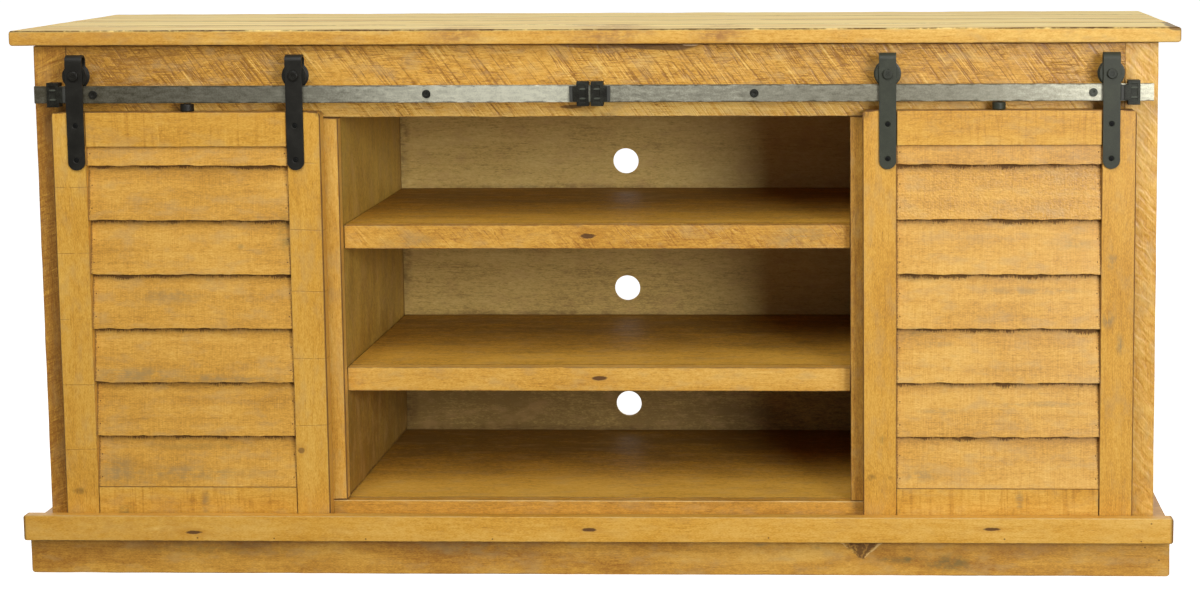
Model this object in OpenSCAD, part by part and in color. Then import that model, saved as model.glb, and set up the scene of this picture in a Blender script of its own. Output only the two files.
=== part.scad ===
/* [Top] */
// How far each end of the top stands out past the cabinet's side
top_end_overhang = 29.5; // [20:0.5:110]
// Depth of the top, front edge to back edge
top_d = 457; // [430:1:520]
// Thickness of the top's planks
top_t = 22.5; // [18:0.5:30]
// How far the top stands out past the face frame
top_overhang = 15; // [5:0.5:30]
// Height of the top's surface above the floor
overall_h = 780; // [765:1:860]
// Width of the cleats that tie the planks together
cleat_w = 20; // [15:1:30]
// Height of those cleats
cleat_h = 30; // [20:1:40]

/* [Cabinet] */
// Width of the cabinet between its outer faces
body_w = 1592; // [1560:1:1620]
// Thickness of the sides, partitions, shelves and floor
panel_t = 18; // [15:0.5:21]
// Thickness of the back panel
back_t = 6; // [4:0.5:10]
// Thickness of the face frame
frame_t = 20; // [18:0.5:24]
// Width of the face frame's two outer stiles
outer_stile_w = 47; // [40:0.5:55]
// Width of the two stiles beside the centre opening
inner_stile_w = 47; // [40:0.5:55]
// Height of the rail under the top
header_h = 103.5; // [96:0.5:112]
// Height of the face frame's bottom rail
bottom_rail_h = 27; // [22:0.5:32]
// Width of the centre opening between its stiles
centre_opening_w = 726; // [680:1:740]
// How far each partition's face lies behind the edge of its stile
stile_reveal = 1; // [0:0.5:4]

/* [Centre shelves] */
// Clear height of the lowest centre bay, under the lower shelf
lower_bay_h = 155.5; // [140:0.5:165]
// Clear height of the middle centre bay, between the shelves
middle_bay_h = 172; // [160:0.5:180]
// Height of the strip along each shelf's front edge
nosing_h = 35.5; // [26:0.5:40]
// Thickness of that strip
nosing_t = 20; // [15:0.5:24]

/* [Side shelves] */
// Height of each side shelf's top above the cabinet floor
side_shelf_rise = 290; // [240:1:330]
// How far each side shelf is set back from the face frame
side_shelf_setback = 6; // [2:0.5:12]
// Gap at each end of a side shelf
side_shelf_gap = 0.5; // [0.3:0.1:0.9]
// Diameter of a shelf pin
pin_d = 5; // [4:0.5:7]
// Depth of a shelf pin in its hole
pin_seat = 9; // [7:0.5:11]
// Length of a shelf pin under its shelf
pin_reach = 10; // [8:0.5:14]
// Distance of the pins from the front and back edges of a side shelf
pin_inset = 45; // [35:1:60]

/* [Cable holes] */
// Diameter of the three cable holes in the back panel
cable_hole_d = 41; // [30:0.5:55]
// Height of each hole's centre above the shelf or floor below it
cable_hole_rise = 43; // [36:0.5:60]

/* [Base] */
// How far each end of the platform and guide strip stands out past the cabinet's side
base_end_overhang = 21.5; // [12:0.5:60]
// Thickness of the platform under the cabinet
platform_t = 19; // [15:0.5:24]
// Height of the plinth
plinth_h = 53; // [40:1:70]
// Thickness of the plinth's boards
plinth_t = 18; // [15:0.5:22]
// How far each end of the plinth is set in from the platform's end
plinth_end_inset = 2; // [0:0.5:12]
// How far the plinth's front is set back from the guide strip's front
plinth_setback = 21; // [12:0.5:28]
// Radius of the plinth's lower corners, seen from the front
plinth_corner_r = 5; // [2:0.5:8]
// Thickness of the guide strip in front of the doors
strip_t = 18; // [12:0.5:22]
// Height of the guide strip above the platform
strip_rise = 19; // [12:0.5:26]
// Gap between the guide strip and the doors
strip_gap = 6; // [3:0.5:9]

/* [Doors] */
// Width of a door
door_w = 382; // [370:1:386]
// Thickness of a door
door_t = 23.5; // [22:0.5:27]
// Gap between the face frame and the back of a door
door_gap = 9.5; // [7:0.5:12]
// Distance from the cabinet's side to a closed door's outer edge
door_edge_inset = 33.5; // [31:0.5:40]
// Gap between a door's bottom edge and the platform
door_floor_gap = 7; // [4:0.5:12]
// Gap between a door's top edge and the underside of the track
door_top_gap = 12; // [9:0.5:16]
// Radius of a door's corners
door_corner_r = 4; // [2:0.5:8]
// Width of a door's stiles
door_stile_w = 48; // [47.5:0.5:56]
// Height of a door's top rail
door_top_rail_h = 50; // [40:0.5:60]
// Height of a door's bottom rail
door_bottom_rail_h = 47.5; // [40:0.5:60]
// Length of the tongues that hold the rails in the stiles
tenon_len = 9; // [6:0.5:10]
// Thickness of those tongues
tenon_t = 8; // [6:0.5:10]
// How far a tongue stays back from the upper and lower edge of its rail
tenon_shoulder = 8; // [6:0.5:12]

/* [Louvres] */
// Thickness of a slat
slat_t = 9; // [7:0.5:10]
// Visible height of the topmost slat
first_slat_h = 28; // [20:0.5:40]
// Height of the last slat that the bottom rail cuts off
last_slat_cut = 5.2; // [0:0.1:12]
// How far each slat reaches up behind the one above it
slat_overlap = 14; // [8:0.5:20]
// Air gap between overlapping slats
slat_gap = 1.5; // [1:0.1:3]
// How far a slat's lower edge lies behind the door's front
slat_setback = 1; // [0.5:0.1:2]
// Depth of the slats' housings in the stiles
slat_housing = 6; // [4:0.5:9]

/* [Track] */
// Thickness of the flat track
track_t = 5; // [4:0.5:6]
// Height of the flat track
track_h = 24.4; // [20:0.2:30]
// Height of the track's centre line above the header's lower edge
track_rise = 35.8; // [32:0.2:40]
// Distance of the track's outer end from the cabinet's side
track_end_inset = 10; // [4:0.5:14]
// Gap between the two tracks at the middle
track_joint = 1; // [0.5:0.1:2]
// Distance of each inner track bolt from the middle
bolt_inner_x = 230; // [180:1:280]
// Distance of each outer track bolt from the track's outer end
bolt_outer_inset = 84; // [72:1:100]
// Diameter of the track bolts
bolt_d = 8; // [6:0.5:9]
// Diameter of a track bolt's head
bolt_head_d = 12; // [11:0.5:14]
// Height of a track bolt's head
bolt_head_h = 2.3; // [1.5:0.1:2.6]
// Depth of a track bolt in the header
bolt_grip = 15; // [10:0.5:17]
// Width of the six-sided socket in a track bolt's head, across its corners
socket_d = 4.6; // [3:0.1:6]
// Depth of that socket
socket_depth = 1.4; // [0.8:0.1:1.8]
// Outer diameter of the spacers behind the track
spacer_d = 14; // [12:0.5:15]

/* [Hangers and wheels] */
// Width of a hanger strap
strap_w = 24; // [20:0.5:28]
// Thickness of a hanger strap
strap_t = 3; // [2:0.5:4]
// Height of a strap's top above its wheel's axle
strap_top_rise = 29.6; // [28:0.2:34]
// Height of a wheel's axle above a strap's lower end
strap_drop = 133; // [120:0.5:145]
// Distance of a strap's centre line from the door's edge
strap_inset = 35.5; // [30:0.5:36]
// Distance of the lower strap screw from the strap's lower end
strap_screw_end = 14.4; // [12:0.1:20]
// Distance between a strap's two screws
strap_screw_spacing = 48.6; // [40:0.2:55]
// Diameter of a wheel where it rolls on the track
tread_d = 28; // [25:0.2:30]
// Diameter of a wheel's flanges
flange_d = 36.4; // [33:0.2:37.4]
// Width of a wheel over its flanges
wheel_w = 11; // [10:0.2:13]
// How much wider a wheel's groove is at its mouth, on each side
groove_flare = 0.8; // [0.4:0.1:1.2]
// Diameter of the axles
axle_d = 8; // [6:0.5:9]
// Diameter of an axle's round head
axle_head_d = 14; // [12:0.5:17]
// Height of an axle's round head
axle_head_h = 3.5; // [2.5:0.1:4.5]
// Width of an axle's nut across its corners
nut_d = 14.4; // [12:0.2:16]
// Height of an axle's nut
nut_h = 5.5; // [4:0.1:6.5]
// How far an axle's end stands out past its nut
axle_tip = 1.5; // [0.5:0.1:3]
// Diameter of the small wood screws
screw_d = 4; // [3:0.1:4.5]
// Diameter of the small wood screws' heads
screw_head_d = 8; // [7:0.1:9]
// Length of the small wood screws
screw_len = 18; // [14:0.5:20]
// Diameter of the disc on a door's top edge
disc_d = 19; // [16:0.5:21]
// Gap between that disc and the underside of the track
disc_gap = 1.6; // [1:0.1:2.5]

/* [Track stops] */
// Width of a stop's block along the track
stop_w = 17; // [14:0.5:20]
// Height of a stop's block
stop_h = 34.4; // [32:0.2:38]
// Depth of a stop's block
stop_d = 16; // [14:0.5:17]
// Distance of an inner stop's block from the middle
inner_stop_inset = 1.5; // [1:0.1:4]
// Width of the shallow panel in a stop's front
stop_panel_w = 8.6; // [6:0.2:11]
// Height of that panel
stop_panel_h = 24.8; // [20:0.2:27]
// Depth of that panel
stop_panel_depth = 1; // [0.5:0.1:2]
// Height of the two ribs that cross the panel
rib_h = 2.4; // [1.6:0.1:3.4]
// Height between the two ribs
rib_spacing = 11; // [8:0.2:14]
// Length of a stop's neck
neck_len = 5.5; // [4:0.1:7]
// Length of the rubber pad on a stop's neck
pad_len = 4.5; // [3:0.1:6]
// Height of a stop's neck and pad
pad_h = 22; // [18:0.2:23]

/* [Fits] */
// Radial clearance of a shaft in its hole
run_clear = 0.05; // [0.02:0.01:0.1]
// Gap between a wheel's tread and the track's upper edge
roll_clear = 0.2; // [0.1:0.05:0.3]
// Side gap between a wheel and each leg of its strap
wheel_side_gap = 0.5; // [0.4:0.1:0.9]
// Side gap between the track and each wall of a wheel's groove
groove_clear = 0.4; // [0.3:0.05:0.6]
// Gap between a closed door's strap and its rubber pad
rest_gap = 0.3; // [0.2:0.05:0.4]
// Clearance of tongues and slats in the stiles
joint_clear = 0.15; // [0.1:0.05:0.3]
// Clearance under the heads and nuts of the axles
seat_clear = 0.02; // [0.01:0.01:0.05]

/* [Hidden] */
$fn = 64;

pine = [0.80, 0.58, 0.28];
pine_light = [0.86, 0.67, 0.38];
pine_deep = [0.70, 0.47, 0.20];
steel = [0.45, 0.45, 0.43];
black_iron = [0.12, 0.12, 0.13];
rubber = [0.30, 0.30, 0.30];

left = -1;
right = 1;
plank_count = 4;
plank_d = top_d / plank_count;
// Extra reach of a cut past the face it opens, and the slack at a blind hole's end
through = 1;
hole_slack = 1;

// Depths, measured back from the face frame's front
back_y = top_d - top_overhang;
inside_y = back_y - back_t;
door_front_y = -(door_gap + door_t);
strip_back_y = door_front_y - strip_gap;
strip_front_y = strip_back_y - strip_t;
plinth_front_y = strip_front_y + plinth_setback;
track_y = door_front_y + wheel_side_gap + wheel_w / 2;
// The origin lies at the middle of the whole depth
front_y = -(back_y + strip_front_y) / 2;

// Heights above the floor
top_under_z = overall_h - top_t;
header_z = top_under_z - header_h;
platform_z = plinth_h + platform_t;
floor_z = platform_z + bottom_rail_h;
lower_shelf_z = floor_z + lower_bay_h + nosing_h;
upper_shelf_z = lower_shelf_z + middle_bay_h + nosing_h;
side_shelf_z = floor_z + side_shelf_rise;
track_z = header_z + track_rise;
axle_z = track_z + track_h / 2 + roll_clear + tread_d / 2;
strap_end_z = axle_z - strap_drop;
door_top_z = track_z - track_h / 2 - door_top_gap;
door_low_z = platform_z + door_floor_gap;
louvre_top_z = door_top_z - door_top_rail_h;
louvre_low_z = door_low_z + door_bottom_rail_h;

// Widths, measured from the middle
top_w = body_w + 2 * top_end_overhang;
base_w = body_w + 2 * base_end_overhang;
side_x = body_w / 2 - panel_t;
partition_x = centre_opening_w / 2 + stile_reveal;
door_x = body_w / 2 - door_edge_inset - door_w / 2;
strap_x = door_w / 2 - strap_inset;
track_inner_x = track_joint / 2;
track_outer_x = body_w / 2 - track_end_inset;
bolt_xs = [bolt_inner_x, track_outer_x - bolt_outer_inset];
bumper_len = neck_len + pad_len;
outer_stop_x = door_x + strap_x + strap_w / 2 + rest_gap + bumper_len;
plinth_x = base_w / 2 - plinth_end_inset;

// Louvres: 7 slats share the height between the rails
slat_count = 7;
slat_pitch = (louvre_top_z - louvre_low_z - first_slat_h + last_slat_cut) / (slat_count - 1);
slat_tilt = asin((slat_t + slat_gap) / slat_pitch);
slat_w = (slat_pitch + slat_overlap) / cos(slat_tilt);
opening_half = door_w / 2 - door_stile_w;

// The strap is bent round the wheel, so its inner radius follows the wheel's width
bend_r = wheel_w / 2 + wheel_side_gap;
bend_z = axle_z + strap_top_rise - bend_r - strap_t;
leg_back_y = track_y + bend_r;

// How far a closed door can slide before its strap meets the inner stop's pad
door_travel = door_x - strap_x - strap_w / 2 - inner_stop_inset - stop_w - bumper_len - rest_gap;
echo(door_travel = door_travel, overall_depth = back_y - strip_front_y, face_frame_y = front_y);

// Moves a piece from the face frame's own frame to the origin, mirrored for the left side
module placed(side = right)
    translate([0, front_y, 0])
        if (side == left) mirror([1, 0, 0]) children();
        else children();

// The same for a piece of a door, with X measured from the door's middle towards its outer edge
module on_door(side) placed(side) translate([door_x, 0, 0]) children();

module box(low, high) translate(low) cube(high - low);

// A shape drawn in X and Z, given thickness from the front face to the back face
module facing(y_front, y_back)
    translate([0, y_back, 0]) rotate([90, 0, 0]) linear_extrude(y_back - y_front) children();

// A round bar along Y
module bar_y(d, y_front, y_back, fn = 64)
    translate([0, y_back, 0]) rotate([90, 0, 0]) cylinder(d = d, h = y_back - y_front, $fn = fn);

// What is cut from a square corner at the origin to round it
module corner_cut(r)
    difference() {
        translate([-through, -through]) square(r + through);
        translate([r, r]) circle(r);
    }

module top_plank(index)
    color(index % 2 == 0 ? pine_light : pine) placed()
        box([-top_w / 2, -top_overhang + index * plank_d, top_under_z],
            [top_w / 2, -top_overhang + (index + 1) * plank_d, overall_h]);

module top_cleats()
    color(pine_deep)
        for (side = [left, right], x = [partition_x + panel_t, side_x - cleat_w])
            placed(side) box([x, frame_t, top_under_z - cleat_h], [x + cleat_w, inside_y, top_under_z]);

// Holes for one side shelf's pins, in the wall whose inner face is at x
module pin_holes(x)
    for (y = pin_ys)
        translate([x, y, pin_z]) rotate([0, 90, 0])
            cylinder(d = pin_d + 2 * run_clear, h = 2 * (pin_seat + hole_slack), center = true);

shelf_front_y = frame_t + side_shelf_setback;
pin_ys = [shelf_front_y + pin_inset, inside_y - pin_inset];
pin_z = side_shelf_z - panel_t - pin_d / 2;

module side_panel(side)
    color(pine_deep) placed(side)
        difference() {
            box([side_x, frame_t, platform_z], [body_w / 2, back_y, top_under_z]);
            pin_holes(side_x);
        }

module partition(side)
    color(pine_deep) placed(side)
        difference() {
            box([partition_x, frame_t, floor_z], [partition_x + panel_t, inside_y, top_under_z]);
            pin_holes(partition_x + panel_t);
        }

module outer_stile(side)
    color(pine) placed(side)
        box([body_w / 2 - outer_stile_w, 0, platform_z], [body_w / 2, frame_t, top_under_z]);

module inner_stile(side)
    color(pine) placed(side)
        box([centre_opening_w / 2, 0, floor_z], [centre_opening_w / 2 + inner_stile_w, frame_t, header_z]);

module header_rail()
    color(pine) placed()
        difference() {
            box([outer_stile_w - body_w / 2, 0, header_z], [body_w / 2 - outer_stile_w, frame_t, top_under_z]);
            for (s = [left, right], x = bolt_xs)
                translate([s * x, 0, track_z]) bar_y(bolt_d + 2 * run_clear, -through, bolt_grip + hole_slack);
        }

module bottom_rail()
    color(pine_light) placed()
        box([outer_stile_w - body_w / 2, 0, platform_z], [body_w / 2 - outer_stile_w, frame_t, floor_z]);

module bottom_panel()
    color(pine) placed() box([-side_x, frame_t, floor_z - panel_t], [side_x, inside_y, floor_z]);

module back_panel()
    color(pine_deep) placed()
        difference() {
            box([-side_x, inside_y, platform_z], [side_x, back_y, top_under_z]);
            for (z = [floor_z, lower_shelf_z, upper_shelf_z])
                translate([0, 0, z + cable_hole_rise])
                    bar_y(cable_hole_d, inside_y - through, back_y + through, 96);
        }

module centre_shelf(z)
    color(pine) placed()
        box([-partition_x, frame_t + nosing_t, z - panel_t], [partition_x, inside_y, z]);

module shelf_nosing(z)
    color(pine_light) placed()
        box([-partition_x, frame_t, z - nosing_h], [partition_x, frame_t + nosing_t, z]);

module side_shelf(side)
    color(pine) placed(side)
        box([partition_x + panel_t + side_shelf_gap, shelf_front_y, side_shelf_z - panel_t],
            [side_x - side_shelf_gap, inside_y, side_shelf_z]);

module shelf_pins()
    color(steel)
        for (side = [left, right], x = [partition_x + panel_t - pin_seat, side_x - pin_reach], y = pin_ys)
            placed(side) translate([x, y, pin_z]) rotate([0, 90, 0])
                cylinder(d = pin_d, h = pin_seat + pin_reach, $fn = 32);

module base_platform()
    color(pine) placed()
        box([-base_w / 2, strip_back_y, plinth_h], [base_w / 2, back_y, platform_z]);

module guide_strip()
    color(pine_light) placed()
        box([-base_w / 2, strip_front_y, plinth_h], [base_w / 2, strip_back_y, platform_z + strip_rise]);

module plinth_front()
    color(pine_light) placed()
        facing(plinth_front_y, plinth_front_y + plinth_t)
            difference() {
                translate([-plinth_x, 0]) square([2 * plinth_x, plinth_h]);
                translate([-plinth_x, 0]) corner_cut(plinth_corner_r);
                translate([plinth_x, 0]) mirror([1, 0]) corner_cut(plinth_corner_r);
            }

module plinth_side(side)
    color(pine) placed(side)
        box([plinth_x - plinth_t, plinth_front_y + plinth_t, 0], [plinth_x, back_y - plinth_t, plinth_h]);

module plinth_rear()
    color(pine) placed() box([-plinth_x, back_y - plinth_t, 0], [plinth_x, back_y, plinth_h]);

module track(side)
    color(steel) placed(side)
        difference() {
            box([track_inner_x, track_y - track_t / 2, track_z - track_h / 2],
                [track_outer_x, track_y + track_t / 2, track_z + track_h / 2]);
            for (x = bolt_xs)
                translate([x, 0, track_z])
                    bar_y(bolt_d + 2 * run_clear, track_y - track_t / 2 - through, track_y + track_t / 2 + through);
        }

module track_spacers()
    color(steel)
        for (side = [left, right], x = bolt_xs)
            placed(side) translate([x, 0, track_z])
                difference() {
                    bar_y(spacer_d, track_y + track_t / 2, 0);
                    bar_y(bolt_d + 2 * run_clear, track_y, through);
                }

// A low round head with a six-sided socket, on a plain shank
module track_bolts() {
    head_y = track_y - track_t / 2;
    color(black_iron)
        for (side = [left, right], x = bolt_xs)
            placed(side) translate([x, 0, track_z])
                difference() {
                    union() {
                        bar_y(bolt_d, head_y, bolt_grip);
                        bar_y(bolt_head_d, head_y - bolt_head_h, head_y);
                    }
                    bar_y(socket_d, head_y - bolt_head_h - through, head_y - bolt_head_h + socket_depth, 6);
                }
}

// Places a stop of one side: its block runs from x = 0 away from the pad, which faces towards -X
module at_stops(side) {
    placed(side) translate([outer_stop_x, 0, track_z]) children();
    placed(side) translate([inner_stop_inset + stop_w, 0, track_z]) mirror([1, 0, 0]) children();
}

stop_front_y = track_y - stop_d / 2;
stop_neck_y = track_y - track_t / 2 - joint_clear;

// Each block is threaded over the track's end and has a shallow panel with two ribs in its front
module track_stops() {
    rib_z = rib_spacing / 2;
    panel_x = (stop_w - stop_panel_w) / 2;
    panel_rows = [[-stop_panel_h / 2, -rib_z - rib_h], [-rib_z, rib_z], [rib_z + rib_h, stop_panel_h / 2]];
    color(black_iron)
        for (side = [left, right])
            at_stops(side)
                difference() {
                    union() {
                        box([0, stop_front_y, -stop_h / 2], [stop_w, stop_front_y + stop_d, stop_h / 2]);
                        box([-neck_len, stop_front_y, -pad_h / 2], [0, stop_neck_y, pad_h / 2]);
                    }
                    box([-through, track_y - track_t / 2 - joint_clear, -track_h / 2 - joint_clear],
                        [stop_w + through, track_y + track_t / 2 + joint_clear, track_h / 2 + joint_clear]);
                    for (z = panel_rows)
                        box([panel_x, stop_front_y - through, z[0]],
                            [panel_x + stop_panel_w, stop_front_y + stop_panel_depth, z[1]]);
                }
}

module stop_pads()
    color(rubber)
        for (side = [left, right])
            at_stops(side)
                box([-bumper_len, stop_front_y, -pad_h / 2], [-neck_len, stop_neck_y, pad_h / 2]);

// One slat's section in Y and Z: its lower front edge is given, and it leans back to the top
module slat_section(z, grow = 0)
    translate([door_front_y + slat_setback, z])
        rotate(-slat_tilt)
            translate([-grow, -grow]) square([slat_t + 2 * grow, slat_w + 2 * grow]);

// All slats between the rails, over the given stretch of X
module slats(x_low, x_high, grow = 0)
    intersection() {
        translate([x_low, 0, 0]) rotate([90, 0, 90])
            linear_extrude(x_high - x_low)
                for (i = [0 : slat_count - 1]) slat_section(louvre_top_z - first_slat_h - i * slat_pitch, grow);
        box([x_low, 2 * door_front_y, louvre_low_z - grow], [x_high, 0, louvre_top_z + grow]);
    }

// The tongues of both rails, in each of their stiles
module tenons(z_low, z_high, grow = 0) {
    mid_y = door_front_y + door_t / 2;
    box([-opening_half - tenon_len - grow, mid_y - tenon_t / 2 - grow, z_low + tenon_shoulder - grow],
        [opening_half + tenon_len + grow, mid_y + tenon_t / 2 + grow, z_high - tenon_shoulder + grow]);
}

screw_zs = [strap_end_z + strap_screw_end, strap_end_z + strap_screw_end + strap_screw_spacing];
screw_end_y = door_front_y - strap_t + screw_len + hole_slack;

// A stile of a door: end is 1 for the outer one and -1 for the inner one
module door_stile(side, end)
    color(pine_light) on_door(side)
        difference() {
            facing(door_front_y, door_front_y + door_t)
                difference() {
                    translate([end > 0 ? opening_half : -door_w / 2, door_low_z])
                        square([door_stile_w, door_top_z - door_low_z]);
                    translate([end * door_w / 2, door_low_z])
                        mirror([end > 0 ? 1 : 0, 0]) corner_cut(door_corner_r);
                    translate([end * door_w / 2, door_top_z])
                        mirror([0, 1]) mirror([end > 0 ? 1 : 0, 0]) corner_cut(door_corner_r);
                }
            slats(-opening_half - slat_housing, opening_half + slat_housing, joint_clear);
            tenons(louvre_top_z, door_top_z, joint_clear);
            tenons(door_low_z, louvre_low_z, joint_clear);
            for (z = screw_zs)
                translate([end * strap_x, 0, z])
                    bar_y(screw_d + 2 * run_clear, door_front_y - through, screw_end_y, 32);
        }

module door_rail(side, z_low, z_high, disc_screw)
    color(pine_light) on_door(side)
        difference() {
            union() {
                box([-opening_half, door_front_y, z_low], [opening_half, door_front_y + door_t, z_high]);
                tenons(z_low, z_high);
            }
            if (disc_screw)
                translate([0, door_front_y + door_t / 2, z_high + disc_h - screw_len - hole_slack])
                    cylinder(d = screw_d + 2 * run_clear, h = screw_len, $fn = 32);
        }

module door_louvres(side)
    color(pine) on_door(side)
        slats(-opening_half - slat_housing + joint_clear, opening_half + slat_housing - joint_clear);

// A countersunk wood screw along -Z, its flat head's top at the origin
module wood_screw(grow = 0)
    translate([0, 0, -screw_len - grow])
        rotate_extrude($fn = 32)
            polygon([[0, 0], [screw_d / 2 + grow, 0], [screw_d / 2 + grow, screw_len - screw_sink],
                     [screw_head_d / 2 + grow, screw_len + grow], [0, screw_len + grow]]);

screw_sink = (screw_head_d - screw_d) / 2;
disc_h = door_top_gap - disc_gap;

// A flat strap bent over its wheel, with holes for the axle and two screws
module strap()
    difference() {
        union() {
            facing(door_front_y - strap_t, door_front_y) {
                translate([-strap_w / 2, strap_end_z + strap_w / 2])
                    square([strap_w, bend_z - strap_end_z - strap_w / 2]);
                translate([0, strap_end_z + strap_w / 2]) circle(d = strap_w);
            }
            facing(leg_back_y, leg_back_y + strap_t) {
                translate([-strap_w / 2, axle_z]) square([strap_w, bend_z - axle_z]);
                translate([0, axle_z]) circle(d = strap_w);
            }
            translate([-strap_w / 2, track_y, bend_z]) rotate([0, 90, 0]) rotate([0, 0, 90])
                rotate_extrude(angle = 180) translate([bend_r, 0]) square([strap_t, strap_w]);
        }
        translate([0, 0, axle_z])
            bar_y(axle_d + 2 * run_clear, door_front_y - strap_t - through, leg_back_y + strap_t + through);
        for (z = screw_zs)
            translate([0, door_front_y - strap_t, z]) rotate([90, 0, 0]) wood_screw(run_clear);
    }

module door_hangers(side)
    color(black_iron) on_door(side)
        for (x = [-strap_x, strap_x]) translate([x, 0, 0]) strap();

module door_axles(side) {
    head_y = door_front_y - strap_t - seat_clear;
    nut_y = leg_back_y + strap_t + seat_clear;
    color(black_iron) on_door(side)
        for (x = [-strap_x, strap_x])
            translate([x, 0, axle_z]) {
                bar_y(axle_d, head_y, nut_y + nut_h + axle_tip);
                bar_y(axle_head_d, head_y - axle_head_h, head_y);
                bar_y(nut_d, nut_y, nut_y + nut_h, 6);
            }
}

module door_screws(side)
    color(black_iron) on_door(side) {
        for (x = [-strap_x, strap_x], z = screw_zs)
            translate([x, door_front_y - strap_t, z]) rotate([90, 0, 0]) wood_screw();
        translate([0, door_front_y + door_t / 2, door_top_z + disc_h]) wood_screw();
    }

module door_disc(side)
    color(black_iron) on_door(side)
        translate([0, door_front_y + door_t / 2, door_top_z])
            difference() {
                cylinder(d = disc_d, h = disc_h);
                translate([0, 0, disc_h]) wood_screw(run_clear);
            }

// A grooved wheel whose flanges straddle the track
module wheel(side, end) {
    groove = track_t / 2 + groove_clear;
    color(black_iron) on_door(side)
        translate([end * strap_x, track_y, axle_z]) rotate([90, 0, 0])
            rotate_extrude($fn = 96)
                polygon([[axle_d / 2 + run_clear, -wheel_w / 2], [flange_d / 2, -wheel_w / 2],
                         [flange_d / 2, -groove - groove_flare], [tread_d / 2, -groove], [tread_d / 2, groove],
                         [flange_d / 2, groove + groove_flare], [flange_d / 2, wheel_w / 2],
                         [axle_d / 2 + run_clear, wheel_w / 2]]);
}

top_plank(0);  // top_plank_1
top_plank(1);  // top_plank_2
top_plank(2);  // top_plank_3
top_plank(3);  // top_plank_4
top_cleats();
side_panel(left);  // side_panel_left
side_panel(right);  // side_panel_right
partition(left);  // partition_left
partition(right);  // partition_right
outer_stile(left);  // outer_stile_left
outer_stile(right);  // outer_stile_right
inner_stile(left);  // inner_stile_left
inner_stile(right);  // inner_stile_right
header_rail();
bottom_rail();
bottom_panel();
back_panel();
centre_shelf(upper_shelf_z);  // centre_shelf_upper
centre_shelf(lower_shelf_z);  // centre_shelf_lower
shelf_nosing(upper_shelf_z);  // shelf_nosing_upper
shelf_nosing(lower_shelf_z);  // shelf_nosing_lower
side_shelf(left);  // side_shelf_left
side_shelf(right);  // side_shelf_right
shelf_pins();
base_platform();
guide_strip();
plinth_front();
plinth_side(left);  // plinth_left
plinth_side(right);  // plinth_right
plinth_rear();
track(left);  // track_left
track(right);  // track_right
track_spacers();
track_bolts();
track_stops();
stop_pads();
door_stile(left, 1);  // door_left_stile_outer
door_stile(left, -1);  // door_left_stile_inner
door_rail(left, louvre_top_z, door_top_z, true);  // door_left_top_rail
door_rail(left, door_low_z, louvre_low_z, false);  // door_left_bottom_rail
door_louvres(left);  // door_left_louvres
door_hangers(left);  // door_left_hangers
door_axles(left);  // door_left_axles
door_screws(left);  // door_left_screws
door_disc(left);  // door_left_disc
door_stile(right, 1);  // door_right_stile_outer
door_stile(right, -1);  // door_right_stile_inner
door_rail(right, louvre_top_z, door_top_z, true);  // door_right_top_rail
door_rail(right, door_low_z, louvre_low_z, false);  // door_right_bottom_rail
door_louvres(right);  // door_right_louvres
door_hangers(right);  // door_right_hangers
door_axles(right);  // door_right_axles
door_screws(right);  // door_right_screws
door_disc(right);  // door_right_disc
wheel(left, 1);  // wheel_left_outer
wheel(left, -1);  // wheel_left_inner
wheel(right, -1);  // wheel_right_inner
wheel(right, 1);  // wheel_right_outer
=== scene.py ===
# Low honey-pine TV stand: worked boards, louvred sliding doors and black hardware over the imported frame
import math
from types import SimpleNamespace

import bpy
from mathutils import Matrix, Vector


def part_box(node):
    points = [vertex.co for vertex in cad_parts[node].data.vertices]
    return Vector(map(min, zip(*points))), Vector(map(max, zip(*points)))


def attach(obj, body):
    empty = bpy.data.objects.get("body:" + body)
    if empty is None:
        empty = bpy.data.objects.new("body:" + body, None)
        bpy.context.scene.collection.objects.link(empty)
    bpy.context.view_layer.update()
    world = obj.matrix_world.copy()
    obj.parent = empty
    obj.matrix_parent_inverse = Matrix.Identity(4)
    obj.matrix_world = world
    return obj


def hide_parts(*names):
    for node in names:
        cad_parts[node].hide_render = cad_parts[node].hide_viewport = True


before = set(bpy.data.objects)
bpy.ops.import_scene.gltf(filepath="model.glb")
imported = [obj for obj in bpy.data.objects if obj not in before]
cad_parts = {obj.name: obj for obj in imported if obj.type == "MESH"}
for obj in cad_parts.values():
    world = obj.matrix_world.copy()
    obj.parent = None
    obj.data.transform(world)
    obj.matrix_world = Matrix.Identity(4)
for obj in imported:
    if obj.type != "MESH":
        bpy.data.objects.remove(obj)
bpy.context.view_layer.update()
print("frame loaded:", len(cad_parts), "parts")


def addObject(name, data):
    made = bpy.data.objects.new(name, data)
    bpy.context.scene.collection.objects.link(made)
    return made


# ---- camera
cameraPlan = dict(
    place=(0.3754, -3.3192, 0.956),
    lens=66.85,
    turn=0.0291,  # about the vertical, to the left
    dip=0.1068,  # below the horizon
    roll=-0.0051,
    shift=(-0.1617, -0.1308),
)


def addCamera(plan):
    data = bpy.data.cameras.new("photoCamera")
    camera = addObject("photoCamera", data)
    data.lens = plan["lens"]
    data.shift_x, data.shift_y = plan["shift"]
    data.clip_end = 200
    camera.matrix_world = (
        Matrix.Translation(plan["place"])
        @ Matrix.Rotation(plan["turn"], 4, "Z")
        @ Matrix.Rotation(math.pi / 2 - plan["dip"], 4, "X")
        @ Matrix.Rotation(plan["roll"], 4, "Z")
    )
    bpy.context.scene.camera = camera


addCamera(cameraPlan)
print("camera placed")


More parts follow.
